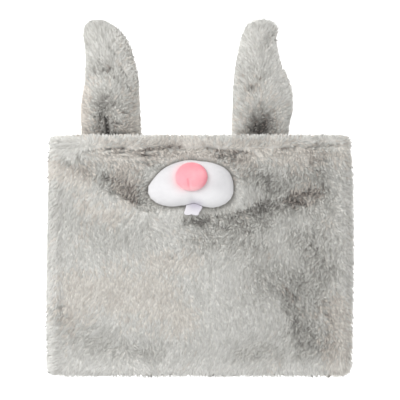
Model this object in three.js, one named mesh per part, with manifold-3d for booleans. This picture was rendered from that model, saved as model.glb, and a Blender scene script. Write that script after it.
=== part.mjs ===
// Plush hood scarf with rabbit ears, laid flat on its back: a soft tube that is pulled over the head, in two
// panels that meet at the side folds, with a stuffed muzzle, nose and felt teeth on the front panel and two
// stuffed ears sewn to the top edge of the back panel.
// Millimetres. +Z is up, out of the front panel, and +Y runs from the bottom hem to the ear tips. The origin is
// on the surface that the scarf lies on, under the middle of its bounding box.
import * as THREE from "three";
import { mergeVertices } from "three/addons/utils/BufferGeometryUtils.js";
import Module from "manifold-3d";

const wasm = await Module();
wasm.setup();

// Tube
const TUBE_WIDTH = 320; // laid flat, from side fold to side fold
const TUBE_HEIGHT = 252; // bottom hem to top edge of the front panel
const WALL = 9; // backing cloth with its pile, uncompressed
const HOLLOW_GAP = 10; // between the two panels, where the head goes in
const BOTTOM_CORNER = 9; // corner radius at the bottom hem
const TOP_CORNER = 5; // corner radius at the top edge
const HEM_DEPTH = 13; // top edge to the stitched groove of its turned hem
const HEM_GROOVE_WIDTH = 3.2;
const HEM_GROOVE_DEPTH = 2.2;
const HEM_EDGE_SHARE = 0.4; // how much of the wall's thickness is left flat at a hem's rounded edge

// Ears
const EAR_LENGTH = 122; // seen above the front panel's top edge
const EAR_WIDTH = 62;
const EAR_THICKNESS = 23; // at the thickest section
const EAR_TUCK = 4; // the back panel stops this far below the front one, and carries the ears there
const LEFT_EAR_FROM_SIDE = 66; // the tube's left side fold to the ear's middle line
const RIGHT_EAR_FROM_SIDE = 96.5;

// Muzzle, nose and teeth
const MUZZLE_WIDTH = 91;
const MUZZLE_X = -10;
const MUZZLE_BELOW_TOP = 53; // top edge of the tube to the muzzle's middle
const MUZZLE_RISE = 15; // its dome, above its seam
const MUZZLE_SEAM_DEPTH = 2; // its seam lies this deep in the pile
const MUZZLE_BELLY = 3; // its rounded back, below the seam
const NOTCH_X = 4.8; // the muzzle's middle to the notch between its cheeks
const NOTCH_DEPTH = 2.2; // how far the cloth is drawn in over the notch
const NOTCH_WIDTH = 9;
const NOSE_WIDTH = 34;
const NOSE_HEIGHT = 31;
const NOSE_RISE = 6;
const NOSE_EDGE = 1.4; // the fabric's turned edge over the muzzle
const NOSE_X = 1.3; // from the muzzle's middle
const NOSE_ABOVE_MUZZLE_MIDDLE = 9.3;
const NOSE_TUCK_DEPTH = 1.6; // the small gather at the nose's lower edge
const NOSE_TUCK_WIDTH = 2.2;
const NOSE_TUCK_X = -2.6; // from the nose's middle
const TEETH_WIDTH = 17.3; // where they come out from under the muzzle
const TEETH_TIP_WIDTH = 15.7;
const TEETH_SHOWN = 8;
const TEETH_LENGTH = 22; // with the end that the muzzle hides
const TEETH_THICKNESS = 2.4;
const TEETH_X = 1.2; // the muzzle's middle to the middle of the tips
const TEETH_SWAY = 2.3; // how far the tips lie to the left of the shown teeth's upper end
const TEETH_BELOW_MUZZLE_MIDDLE = 30.9; // muzzle's middle to the tips
const TEETH_CORNER = 2.6;
const TEETH_NOTCH = 1.2;
const TEETH_PROUD = 0.6; // above the pile
const TEETH_LEAN = THREE.MathUtils.degToRad(-2);

const SEWN_GAP = 0.3; // between pieces that are sewn together
const FLAT_WITHIN = 0.02; // faces nearer to flat than this share their triangles

const HALF_GAP = HOLLOW_GAP / 2;
const MID_HEIGHT = WALL + HALF_GAP + SEWN_GAP / 2; // the tube's middle plane, between its two panels
const PILE_TOP = 2 * MID_HEIGHT; // outer face of the front panel
const BOTTOM_Y = -(TUBE_HEIGHT + EAR_LENGTH) / 2;
const TOP_Y = BOTTOM_Y + TUBE_HEIGHT;
const MUZZLE_Y = TOP_Y - MUZZLE_BELOW_TOP;
const LEFT_EAR_X = LEFT_EAR_FROM_SIDE - TUBE_WIDTH / 2;
const RIGHT_EAR_X = TUBE_WIDTH / 2 - RIGHT_EAR_FROM_SIDE;

// The tube's side folds: how far each lies inside the full width, in shares of TUBE_WIDTH.
const SIDES = [
  { up: 0, left: 0.001, right: 0.007 },
  { up: 0.3, left: 0, right: 0.004 },
  { up: 0.55, left: 0.002, right: 0 },
  { up: 0.8, left: 0.006, right: 0.004 },
  { up: 0.93, left: 0.007, right: 0.008 },
  { up: 1, left: 0.009, right: 0.01 },
];

// The front panel's folds and dents. x in shares of TUBE_WIDTH from its middle, y in shares of TUBE_HEIGHT from
// the bottom hem, width in shares of TUBE_HEIGHT and depth in shares of WALL. A depth below 0 is a swell.
const FOLDS = [
  { name: "left pull", x1: -0.36, y1: 0.85, x2: -0.19, y2: 0.735, width: 0.045, depth: 0.42 },
  { name: "right pull", x1: 0.39, y1: 0.77, x2: 0.2, y2: 0.74, width: 0.05, depth: 0.45 },
  { name: "right sweep", x1: 0.22, y1: 0.73, x2: 0.01, y2: 0.63, width: 0.055, depth: 0.38 },
  { name: "under the teeth", x1: -0.06, y1: 0.63, x2: 0.02, y2: 0.62, width: 0.035, depth: 0.2 },
  { name: "above the muzzle", x1: -0.14, y1: 0.925, x2: 0.1, y2: 0.93, width: 0.03, depth: 0.2 },
  { name: "left side crease", x1: -0.45, y1: 0.93, x2: -0.45, y2: 0.62, width: 0.035, depth: 0.22 },
  { name: "lower left dent", x1: -0.42, y1: 0.15, x2: -0.16, y2: 0.115, width: 0.06, depth: 0.3 },
  { name: "right valley", x1: 0.33, y1: 0.56, x2: 0.29, y2: 0.14, width: 0.1, depth: 0.34 },
  { name: "middle crease", x1: -0.1, y1: 0.57, x2: 0.08, y2: 0.55, width: 0.03, depth: 0.18 },
  { name: "left belly", x1: -0.26, y1: 0.42, x2: -0.1, y2: 0.3, width: 0.16, depth: -0.24 },
  { name: "right belly", x1: 0.16, y1: 0.52, x2: 0.06, y2: 0.22, width: 0.13, depth: -0.22 },
  { name: "upper right swell", x1: 0.22, y1: 0.86, x2: 0.36, y2: 0.88, width: 0.06, depth: -0.22 },
];

// Ear outlines: up in shares of EAR_LENGTH from the front panel's top edge, left and right in shares of
// EAR_WIDTH from the ear's own middle line, thick in shares of EAR_THICKNESS.
const LEFT_EAR = [
  { up: 0, left: -0.49, right: 0.5, thick: 0.6 },
  { up: 0.11, left: -0.5, right: 0.49, thick: 0.85 },
  { up: 0.26, left: -0.505, right: 0.483, thick: 0.98 },
  { up: 0.37, left: -0.475, right: 0.468, thick: 1 },
  { up: 0.47, left: -0.44, right: 0.458, thick: 0.97 },
  { up: 0.57, left: -0.43, right: 0.432, thick: 0.93 },
  { up: 0.675, left: -0.425, right: 0.381, thick: 0.9 },
  { up: 0.78, left: -0.44, right: 0.313, thick: 0.84 },
  { up: 0.88, left: -0.47, right: 0.195, thick: 0.74 },
  { up: 0.932, left: -0.45, right: 0.09, thick: 0.66 },
  { up: 0.97, left: -0.41, right: -0.02, thick: 0.52 },
  { up: 1, left: -0.31, right: -0.15, thick: 0.26 },
];
const RIGHT_EAR = [
  { up: 0, left: -0.475, right: 0.466, thick: 0.6 },
  { up: 0.11, left: -0.466, right: 0.483, thick: 0.82 },
  { up: 0.214, left: -0.466, right: 0.534, thick: 0.96 },
  { up: 0.316, left: -0.458, right: 0.551, thick: 1 },
  { up: 0.42, left: -0.449, right: 0.525, thick: 1 },
  { up: 0.52, left: -0.432, right: 0.458, thick: 0.96 },
  { up: 0.624, left: -0.407, right: 0.356, thick: 0.92 },
  { up: 0.726, left: -0.364, right: 0.305, thick: 0.88 },
  { up: 0.83, left: -0.322, right: 0.27, thick: 0.84 },
  { up: 0.93, left: -0.229, right: 0.28, thick: 0.74 },
  { up: 0.97, left: -0.15, right: 0.235, thick: 0.56 },
  { up: 1, left: -0.03, right: 0.12, thick: 0.26 },
];

// Creases and hollows in the ears' upper faces. x in shares of EAR_WIDTH, y and width in shares of EAR_LENGTH,
// depth in shares of EAR_THICKNESS.
const LEFT_EAR_FOLDS = [
  { name: "pinched crease", x1: -0.03, y1: 0, x2: -0.09, y2: 0.2, width: 0.045, depth: 0.34 },
  { name: "fold above the pinch", x1: -0.28, y1: 0.3, x2: -0.02, y2: 0.24, width: 0.07, depth: 0.16 },
  { name: "waist", x1: -0.16, y1: 0.55, x2: 0.12, y2: 0.6, width: 0.06, depth: 0.14 },
];
const RIGHT_EAR_FOLDS = [
  { name: "hollow over the seam", x1: -0.1, y1: 0, x2: 0.1, y2: 0.14, width: 0.12, depth: 0.36 },
  { name: "under the folded tip", x1: 0.14, y1: 0.82, x2: 0.3, y2: 0.84, width: 0.035, depth: 0.26 },
  { name: "waist", x1: -0.12, y1: 0.5, x2: 0.02, y2: 0.42, width: 0.08, depth: 0.1 },
];

// The muzzle's outline: turn in degrees from +X, reach in shares of half of MUZZLE_WIDTH.
const MUZZLE_OUTLINE = [
  { turn: 0, reach: 1 },
  { turn: 19, reach: 0.958 },
  { turn: 43, reach: 0.76 },
  { turn: 67, reach: 0.618 },
  { turn: 92, reach: 0.596 },
  { turn: 122, reach: 0.632 },
  { turn: 155, reach: 0.78 },
  { turn: 168, reach: 0.86 },
  { turn: 180, reach: 0.97 },
  { turn: 188, reach: 1 },
  { turn: 203, reach: 0.925 },
  { turn: 214, reach: 0.803 },
  { turn: 228, reach: 0.655 },
  { turn: 241, reach: 0.535 },
  { turn: 256, reach: 0.464 },
  { turn: 270, reach: 0.428 },
  { turn: 285, reach: 0.43 },
  { turn: 301, reach: 0.558 },
  { turn: 318, reach: 0.758 },
  { turn: 331, reach: 0.898 },
  { turn: 341, reach: 0.983 },
  { turn: 349, reach: 1.008 },
  { turn: 360, reach: 1 },
];

const FUR = new THREE.MeshStandardMaterial({ color: 0xbdbab4, roughness: 0.95, metalness: 0 });
const WHITE_PLUSH = new THREE.MeshStandardMaterial({ color: 0xf1eff1, roughness: 0.8, metalness: 0 });
const PINK_PLUSH = new THREE.MeshStandardMaterial({ color: 0xfbb0b8, roughness: 0.8, metalness: 0 });
const WHITE_FELT = new THREE.MeshStandardMaterial({ color: 0xece9ee, roughness: 0.9, metalness: 0 });

// A table's columns as smooth functions of its first one.
function smoothTable(rows, along, columns) {
  const places = rows.map((row) => row[along]);
  const values = rows.flatMap((row) => columns.map((column) => row[column]));
  const curve = new THREE.CubicInterpolant(places, values, columns.length);
  return (at) => {
    const found = curve.evaluate(THREE.MathUtils.clamp(at, places[0], places.at(-1)));
    return Object.fromEntries(columns.map((column, i) => [column, found[i]]));
  };
}

// How deep a point lies in a list of folds, each a straight dent with soft sides and ends.
function foldDepth(folds, x, y, xUnit, yUnit, depthUnit) {
  let depth = 0;
  for (const fold of folds) {
    const start = new THREE.Vector3(fold.x1 * xUnit, fold.y1 * yUnit, 0);
    const end = new THREE.Vector3(fold.x2 * xUnit, fold.y2 * yUnit, 0);
    const point = new THREE.Vector3(x, y, 0);
    const nearest = new THREE.Line3(start, end).closestPointToPoint(point, true, new THREE.Vector3());
    const away = nearest.distanceTo(point) / (fold.width * yUnit);
    depth += fold.depth * depthUnit * Math.exp(-away * away);
  }
  return depth;
}

// A sine-shaped dip across a groove, 1 in its middle and 0 at its sides.
function groove(away, width) {
  return Math.abs(away) < width ? (1 + Math.cos((Math.PI * away) / width)) / 2 : 0;
}

function moveVertices(geometry, place) {
  const position = geometry.getAttribute("position");
  const point = new THREE.Vector3();
  for (let i = 0; i < position.count; i++) {
    point.fromBufferAttribute(position, i);
    place(point);
    position.setXYZ(i, point.x, point.y, point.z);
  }
  return geometry;
}

function solidOf(geometry) {
  const bare = geometry.clone();
  bare.deleteAttribute("normal");
  bare.deleteAttribute("uv");
  const merged = mergeVertices(bare, 1e-3);
  const vertProperties = new Float32Array(merged.getAttribute("position").array);
  return new wasm.Manifold(new wasm.Mesh({ numProp: 3, vertProperties, triVerts: new Uint32Array(merged.index.array) }));
}

function geometryOf(solid) {
  const { vertProperties, triVerts } = solid.getMesh();
  const geometry = new THREE.BufferGeometry();
  geometry.setAttribute("position", new THREE.BufferAttribute(new Float32Array(vertProperties), 3));
  geometry.setIndex(new THREE.BufferAttribute(new Uint32Array(triVerts), 1));
  geometry.computeVertexNormals();
  return geometry;
}

function namedMesh(name, geometry, material) {
  const mesh = new THREE.Mesh(geometry, material);
  mesh.name = name;
  return mesh;
}

// Rises from 0 at an edge to 1 at a radius inside it, as a quarter circle does.
function quarterRound(inside, radius) {
  const left = THREE.MathUtils.clamp(1 - inside / radius, 0, 1);
  return Math.sqrt(1 - left * left);
}

// Distances from one end of a length to the other, closer together near the two ends.
function stations(length, startRound, endRound, roundSteps, plainSteps, extra = []) {
  const near = (radius) => Array.from({ length: roundSteps }, (_, i) => radius * (1 - Math.cos((i / roundSteps) * (Math.PI / 2))));
  const plain = Array.from({ length: plainSteps + 1 }, (_, i) => THREE.MathUtils.lerp(startRound, length - endRound, i / plainSteps));
  const kept = plain.filter((at) => extra.every((other) => Math.abs(at - other) > HEM_GROOVE_WIDTH));
  return [...near(startRound), ...kept, ...extra, ...near(endRound).map((at) => length - at)].sort((a, b) => a - b);
}

const sideFolds = smoothTable(SIDES, "up", ["left", "right"]);

// Half of the tube: a wall of even thickness round the tube's flat middle plane. side is 1 for the front half and
// -1 for the back half, and dent says how deep a place of the outer face lies.
function panel(side, topY, topCorner, along, dent) {
  const SIDE_STEPS = 4;
  const FLAT_STEPS = side > 0 ? 30 : 14;
  const acrossSteps = 2 * SIDE_STEPS + FLAT_STEPS;
  const alongSteps = along.length - 1;
  const outerRadius = HALF_GAP + WALL;
  const middleRadius = HALF_GAP + WALL / 2;
  const geometry = new THREE.BoxGeometry(1, 1, 1, acrossSteps, alongSteps, 1);
  moveVertices(geometry, (point) => {
    const step = Math.round((point.x + 0.5) * acrossSteps);
    const fromBottom = along[Math.round((point.y + 0.5) * alongSteps)];
    const fromTop = topY - BOTTOM_Y - fromBottom;
    const rounding = Math.min(quarterRound(fromBottom, WALL / 2), quarterRound(fromTop, WALL / 2));
    const corner =
      BOTTOM_CORNER * (1 - quarterRound(fromBottom, BOTTOM_CORNER)) + topCorner * (1 - quarterRound(fromTop, topCorner));
    const inset = sideFolds(fromBottom / TUBE_HEIGHT);
    const left = -TUBE_WIDTH / 2 + outerRadius + corner + inset.left * TUBE_WIDTH;
    const right = TUBE_WIDTH / 2 - outerRadius - corner - inset.right * TUBE_WIDTH;
    // The way across: up round the left fold, over the flat middle, down round the right fold.
    const onLeft = Math.min(step / SIDE_STEPS, 1);
    const onRight = Math.max((step - SIDE_STEPS - FLAT_STEPS) / SIDE_STEPS, 0);
    const lean = (Math.PI / 2) * (onLeft - 1 + onRight);
    const middle = THREE.MathUtils.clamp((step - SIDE_STEPS) / FLAT_STEPS, 0, 1);
    const x = THREE.MathUtils.lerp(left, right, middle);
    const y = BOTTOM_Y + fromBottom;
    const outward = side * point.z > 0;
    const thickness = (WALL / 2) * (HEM_EDGE_SHARE + (1 - HEM_EDGE_SHARE) * rounding);
    const sunk = outward ? dent(x, fromBottom) * Math.cos(lean) * rounding : 0;
    const radius = middleRadius + (outward ? thickness - sunk : -thickness);
    point.set(x + radius * Math.sin(lean), y, MID_HEIGHT + side * (SEWN_GAP / 2 + radius * Math.cos(lean)));
  });
  return geometry;
}

function frontDent(x, fromBottom) {
  const folds = foldDepth(FOLDS, x, fromBottom, TUBE_WIDTH, TUBE_HEIGHT, WALL);
  const hem = HEM_GROOVE_DEPTH * groove(TUBE_HEIGHT - HEM_DEPTH - fromBottom, HEM_GROOVE_WIDTH);
  return folds + hem;
}

function frontPanel() {
  const groovePlace = TUBE_HEIGHT - HEM_DEPTH;
  const hemStations = [-1, 0, 1].map((side) => groovePlace + side * HEM_GROOVE_WIDTH);
  const along = stations(TUBE_HEIGHT, BOTTOM_CORNER, TOP_CORNER, 3, 23, hemStations);
  const plain = solidOf(panel(1, TOP_Y, TOP_CORNER, along, frontDent));
  const pocket = solidOf(muzzleShape(SEWN_GAP)).add(solidOf(teethShape(SEWN_GAP)));
  return geometryOf(plain.subtract(pocket).simplify(FLAT_WITHIN));
}

function backPanel() {
  const height = TUBE_HEIGHT - EAR_TUCK;
  const along = stations(height, BOTTOM_CORNER, TOP_CORNER, 3, 10);
  return panel(-1, TOP_Y - EAR_TUCK, TOP_CORNER, along, () => 0);
}

// A stuffed ear: a flattened tube of the table's outline, domed above and flat where it lies on the surface.
function ear(middleX, outline, folds) {
  const ROUND_STEPS = 24;
  const LENGTH_STEPS = 20;
  const LIE_SHARE = 0.42; // of the thickness, below the widest line
  const PRESSED = 1.25; // how much further the rounded underside would reach if nothing carried it
  const section = smoothTable(outline, "up", ["left", "right", "thick"]);
  const seatY = TOP_Y - EAR_TUCK + SEWN_GAP;
  const geometry = new THREE.CylinderGeometry(1, 1, 1, ROUND_STEPS, LENGTH_STEPS);
  moveVertices(geometry, (point) => {
    const share = point.y + 0.5;
    const up = Math.sin((share * Math.PI) / 2) * 0.5 + share * 0.5;
    const { left, right, thick } = section(up);
    const across = (left + right) / 2 + (point.x * (right - left)) / 2;
    const thickness = thick * EAR_THICKNESS;
    const dent = foldDepth(folds, across * EAR_WIDTH, up * EAR_LENGTH, EAR_WIDTH, EAR_LENGTH, EAR_THICKNESS);
    const above = (1 - LIE_SHARE) * thickness * Math.pow(Math.max(point.z, 0), 0.85);
    const below = LIE_SHARE * PRESSED * thickness * Math.pow(Math.max(-point.z, 0), 0.7);
    const z = LIE_SHARE * thickness + above - below - dent * Math.max(point.z, 0);
    const y = THREE.MathUtils.lerp(seatY, TOP_Y + EAR_LENGTH, up);
    point.set(middleX + across * EAR_WIDTH, y, Math.max(z, 0));
  });
  return geometry;
}

const muzzleReach = smoothTable(MUZZLE_OUTLINE, "turn", ["reach"]);

// 0 at the muzzle's middle and 1 on its outline, for a place measured from its middle.
function muzzleShare(x, y, clearance) {
  const turn = THREE.MathUtils.euclideanModulo(THREE.MathUtils.radToDeg(Math.atan2(y, x)), 360);
  return Math.hypot(x, y) / ((muzzleReach(turn).reach * MUZZLE_WIDTH) / 2 + clearance);
}

// Height of the muzzle's upper face over its seam.
function muzzleHeight(x, y, clearance = 0) {
  const share = Math.min(muzzleShare(x, y, clearance), 1);
  const dome = Math.pow(1 - Math.pow(share, 2.2), 0.62);
  const notch = y < 0 ? NOTCH_DEPTH * groove(x - NOTCH_X, NOTCH_WIDTH) * share ** 3 * Math.min(dome * 2, 1) : 0;
  return (MUZZLE_RISE + clearance) * dome - notch;
}

function muzzleShape(clearance) {
  const ROUND_STEPS = 40;
  const RING_STEPS = 14;
  const geometry = new THREE.SphereGeometry(1, ROUND_STEPS, RING_STEPS).rotateX(Math.PI / 2);
  const seamHeight = PILE_TOP - MUZZLE_SEAM_DEPTH;
  moveVertices(geometry, (point) => {
    const flat = Math.hypot(point.x, point.y);
    const turn = Math.atan2(point.y, point.x);
    const degrees = THREE.MathUtils.euclideanModulo(THREE.MathUtils.radToDeg(turn), 360);
    const radius = flat * ((muzzleReach(degrees).reach * MUZZLE_WIDTH) / 2 + clearance);
    const x = radius * Math.cos(turn);
    const y = radius * Math.sin(turn);
    const height = point.z > 0 ? muzzleHeight(x, y, clearance) : (MUZZLE_BELLY + clearance) * point.z;
    point.set(MUZZLE_X + x, MUZZLE_Y + y, seamHeight + height);
  });
  return geometry;
}

// The nose swells over the muzzle that it is sewn to, gathered by a tuck below.
function nose() {
  const ROUND_STEPS = 24;
  const RING_STEPS = 10;
  const geometry = new THREE.SphereGeometry(1, ROUND_STEPS, RING_STEPS).rotateX(Math.PI / 2);
  const seatHeight = PILE_TOP - MUZZLE_SEAM_DEPTH + NOSE_EDGE;
  moveVertices(geometry, (point) => {
    const x = NOSE_X + (point.x * NOSE_WIDTH) / 2;
    const y = NOSE_ABOVE_MUZZLE_MIDDLE + (point.y * NOSE_HEIGHT) / 2;
    const swell = point.z > 0 ? (NOSE_RISE - NOSE_EDGE) * Math.pow(point.z, 0.9) : 3 * NOSE_EDGE * point.z;
    const low = THREE.MathUtils.clamp(-point.y, 0, 1);
    const fromTuck = x - NOSE_X - NOSE_TUCK_X;
    const tuck = point.z > 0 ? NOSE_TUCK_DEPTH * groove(fromTuck, NOSE_TUCK_WIDTH) * low * point.z : 0;
    point.set(MUZZLE_X + x, MUZZLE_Y + y, seatHeight + muzzleHeight(x, y) + swell - tuck);
  });
  return geometryOf(solidOf(geometry).subtract(solidOf(muzzleShape(SEWN_GAP))));
}

// Two joined front teeth, cut from one piece of felt.
function teethShape(clearance) {
  const upper = TEETH_WIDTH / 2 + clearance;
  const half = TEETH_TIP_WIDTH / 2 + clearance;
  const low = -clearance;
  const corner = TEETH_CORNER;
  const outline = new THREE.Shape();
  outline.moveTo(TEETH_SWAY - upper, TEETH_LENGTH);
  outline.lineTo(TEETH_SWAY - upper, TEETH_SHOWN);
  outline.lineTo(-half, low + corner);
  outline.quadraticCurveTo(-half, low, -half + corner, low);
  outline.quadraticCurveTo(-corner / 3, low, 0, low + TEETH_NOTCH);
  outline.quadraticCurveTo(corner / 3, low, half - corner, low);
  outline.quadraticCurveTo(half, low, half, low + corner);
  outline.lineTo(TEETH_SWAY + upper, TEETH_SHOWN);
  outline.lineTo(TEETH_SWAY + upper, TEETH_LENGTH);
  const depth = TEETH_THICKNESS + 2 * clearance;
  const geometry = new THREE.ExtrudeGeometry(outline, { depth, bevelEnabled: false, curveSegments: 5 });
  geometry.rotateZ(TEETH_LEAN);
  return geometry.translate(
    MUZZLE_X + TEETH_X,
    MUZZLE_Y - TEETH_BELOW_MUZZLE_MIDDLE,
    PILE_TOP + TEETH_PROUD - TEETH_THICKNESS - clearance,
  );
}

function teeth() {
  return geometryOf(solidOf(teethShape(0)).subtract(solidOf(muzzleShape(SEWN_GAP))));
}

const scarf = new THREE.Group();
scarf.add(
  namedMesh("front_panel", frontPanel(), FUR),
  namedMesh("back_panel", backPanel(), FUR),
  namedMesh("left_ear", ear(LEFT_EAR_X, LEFT_EAR, LEFT_EAR_FOLDS), FUR),
  namedMesh("right_ear", ear(RIGHT_EAR_X, RIGHT_EAR, RIGHT_EAR_FOLDS), FUR),
  namedMesh("muzzle", muzzleShape(0), WHITE_PLUSH),
  namedMesh("nose", nose(), PINK_PLUSH),
  namedMesh("teeth", teeth(), WHITE_FELT),
);

export default scarf;
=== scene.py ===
"""Looks for a plush hood scarf with rabbit ears, laid flat on its back with its face up.

The two panels of the tube and the two ears are acrylic faux fur: a knitted backing cloth, or a stuffed body,
under a pile of real tufts. The muzzle and nose are smooth short-pile plush, and the teeth are felt.
"""

import math
import random

import bmesh
import bpy
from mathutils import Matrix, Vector, noise
from mathutils.bvhtree import BVHTree


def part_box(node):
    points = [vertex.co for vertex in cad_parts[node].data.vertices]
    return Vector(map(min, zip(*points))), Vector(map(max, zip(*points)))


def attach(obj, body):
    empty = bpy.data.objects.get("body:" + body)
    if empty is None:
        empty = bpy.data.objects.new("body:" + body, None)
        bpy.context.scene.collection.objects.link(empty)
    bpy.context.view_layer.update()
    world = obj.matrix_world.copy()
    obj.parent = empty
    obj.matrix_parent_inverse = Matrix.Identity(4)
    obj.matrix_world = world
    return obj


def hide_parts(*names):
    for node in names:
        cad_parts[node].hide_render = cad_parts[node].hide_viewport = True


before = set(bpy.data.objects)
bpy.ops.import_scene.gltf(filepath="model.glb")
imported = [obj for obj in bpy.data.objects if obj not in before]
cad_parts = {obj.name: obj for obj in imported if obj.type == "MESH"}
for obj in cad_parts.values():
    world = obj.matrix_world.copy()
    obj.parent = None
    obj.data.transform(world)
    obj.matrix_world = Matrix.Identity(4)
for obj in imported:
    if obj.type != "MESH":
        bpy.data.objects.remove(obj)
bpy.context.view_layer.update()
scene = bpy.context.scene

MM = 0.001
UP = Vector((0, 0, 1))
JOIN_WITHIN = 0.001 * MM  # corners nearer to each other than this are one corner

# The tube's wall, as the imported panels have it
HALF_GAP = 5 * MM  # from the tube's middle plane to the inner face of a panel
WALL = 9 * MM
SIDE_FOLD_X = 142 * MM  # where the wall starts to turn round the side fold
CLOTH_SHARE = 0.62  # of the wall's thickness, left as backing cloth under the pile
SIDE_CLOTH_SHARE = 1.03  # the same round the side folds, whose outline only the pile passes
BOTTOM_PILE = 0.4 * MM  # how far the cloth stops short of the panel's edge at the bottom hem
TOP_PILE = 0.1 * MM  # the same at the top edge
HEM_DEPTH = 13 * MM  # top edge to the stitched groove of its hem
SIDE_TURN = 0.85  # the share of the half width past which the nap turns to the side fold

# The ears
LEFT_EAR_X = -94 * MM  # their middle lines
RIGHT_EAR_X = 63.5 * MM
EAR_LENGTH = 122 * MM
EAR_HALF_WIDTH = 31 * MM
EAR_PILE = 0.2 * MM  # how far the ears' cloth lies under the surface of their solids

# The creases
CREASE_MARGIN = 4 * MM  # how far beside a crease its piece has finer faces
IN_MARGIN = 0.37  # nearness to a crease at that distance
FRONT_CREASE_DEPTH = 2 * MM  # of a crease whose darkness is 1
LEFT_EAR_CREASE_DEPTH = 5 * MM
RIGHT_EAR_CREASE_DEPTH = 3 * MM

# The pile
TUFT_LENGTH = 6 * MM
FRONT_SPACING = 1.85 * MM
BACK_SPACING = 3.2 * MM
EAR_SPACING = 2.0 * MM
TRIES = 2.2  # to plant a tuft, on each square of that spacing
STRANDS_IN_TUFT = 9
LOWEST_STRAND = 0.05 * MM  # over the table
CLUMP_WIDTH = 2.4 * MM  # the pile gathers in clumps about this wide
CLUMP_SAMPLES = 5  # whose sum draws a clump out along the nap
CLUMP_STEP = 1.5 * MM  # between those samples
CLUMP_CONTRAST = 0.25  # how far one clump's tone differs from the next
OPEN_CONTRAST = 0.4  # and how much further where the pile has parted
BRIGHTEST = 0.12  # the lightest that a tuft gets, over the tone of its place
FREEDOM = 0.35  # radians that a tuft may turn from the nap, and a radian more where the pile has parted
OWN_SHADE = 0.09  # how much a strand's own shade counts in its colour
OPEN_SHADE = 0.07  # and how much more where the pile has parted
ROOT_SHADOW = 0.3  # the part of the root-to-tip colours that only parted pile shows
PALETTE = 0.5  # the width of one palette in a strand's colours, which has a thin margin at both ends
PALETTE_MARGIN = 0.005
DARKEST_TONE = 0.045  # where a palette's tones start, and how far they reach
TONE_SPAN = 0.4
CLOTH_SHADING = 0.7  # how much of a strand's shading is its cloth's, on the flat
OPEN_SHADING = -0.35  # and how that changes where the pile has parted
SIDE_FALL = 0.7  # how fast it falls round the side folds

# The photograph's framing, with the camera straight above the scarf
PHOTO_PIXELS = 400
MM_PER_PIXEL = 1.0458
CAMERA_HEIGHT = 1700 * MM
FRAME_CENTRE = Vector((0, -2.9 * MM, 0))


def rgb(code):
    """A linear colour from an sRGB hex value."""
    parts = [int(code[i : i + 2], 16) / 255 for i in (1, 3, 5)]
    return [c / 12.92 if c <= 0.04045 else ((c + 0.055) / 1.055) ** 2.4 for c in parts] + [1]


def add_node(tree, kind, settings=None, inputs=None):
    """Adds a node with its settings.

    Each input is a value, an output socket, or a node for its first output."""
    node = tree.nodes.new(kind)
    for name, value in (settings or {}).items():
        setattr(node, name, value)
    for name, value in (inputs or {}).items():
        if isinstance(value, bpy.types.Node):
            value = value.outputs[0]
        if isinstance(value, bpy.types.NodeSocket):
            tree.links.new(value, node.inputs[name])
        else:
            node.inputs[name].default_value = value
    return node


def maths(tree, operation, *values):
    """Adds a maths node that works on those values."""
    return add_node(tree, "ShaderNodeMath", {"operation": operation}, dict(enumerate(values)))


# The kinds and settings of nodes that are used again and again
NOISE = "ShaderNodeTexNoise"
RAMP = "ShaderNodeValToRGB"
KEEP = "GeometryNodeStoreNamedAttribute"
FLOAT = {"data_type": "FLOAT"}
ON_POINTS = {"data_type": "FLOAT", "domain": "POINT"}
COLOUR = {"data_type": "RGBA"}


def clamp(value, low=0.0, high=1.0):
    return min(max(value, low), high)


def smooth_step(value, start, end):
    """0 before start and 1 after end, with a soft rise between."""
    share = clamp((value - start) / (end - start))
    return share * share * (3 - 2 * share)


def drift(point, size, seed=0.0):
    """A soft random value from about -1 to 1 whose patches are about that size."""
    return noise.noise(point / size + Vector((seed, 2.7 * seed, 1.3 * seed)))


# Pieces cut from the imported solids


def cad_shape(node):
    """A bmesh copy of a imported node's mesh, its loose triangles joined."""
    shape = bmesh.new()
    shape.from_mesh(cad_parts[node].data)
    bmesh.ops.remove_doubles(shape, verts=shape.verts, dist=JOIN_WITHIN)
    return shape


def add_piece(name, shape):
    """A shown object made from a bmesh."""
    mesh = bpy.data.meshes.new(name)
    shape.to_mesh(mesh)
    shape.free()
    piece = bpy.data.objects.new(name, mesh)
    scene.collection.objects.link(piece)
    return piece


def apply_modifiers(piece):
    """Leaves the piece with the mesh that its modifiers make."""
    depsgraph = bpy.context.evaluated_depsgraph_get()
    finished = bpy.data.meshes.new_from_object(piece.evaluated_get(depsgraph))
    plain = piece.data
    piece.modifiers.clear()
    piece.data = finished
    bpy.data.meshes.remove(plain)


def even_copy(node, name, voxel, rounds):
    """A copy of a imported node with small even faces, softened by that many rounds of smoothing."""
    piece = add_piece(name, cad_shape(node))
    even = piece.modifiers.new("even faces", "REMESH")
    even.mode = "VOXEL"
    even.voxel_size = voxel
    soften = piece.modifiers.new("soften", "SMOOTH")
    soften.factor = 0.5
    soften.iterations = rounds
    apply_modifiers(piece)
    piece.data.shade_smooth()
    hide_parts(node)
    return piece


def dress(piece, material):
    """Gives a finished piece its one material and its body."""
    piece.data.materials.clear()
    piece.data.materials.append(material)
    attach(piece, "root")


front_low, front_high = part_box("front_panel")
_, back_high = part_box("back_panel")
MID_Z = (front_low[2] + back_high[2]) / 2
PILE_TOP = MID_Z + HALF_GAP + WALL
TOP_Y = front_high[1]
BOTTOM_Y = front_low[1]
HALF_WIDTH = front_high[0]

muzzle_surface = BVHTree.FromBMesh(cad_shape("muzzle"))
teeth_surface = BVHTree.FromBMesh(cad_shape("teeth"))


def wall_core(point):
    """The nearest place on the tube's middle plane."""
    return Vector((clamp(point.x, -SIDE_FOLD_X, SIDE_FOLD_X), point.y, MID_Z))


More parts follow.
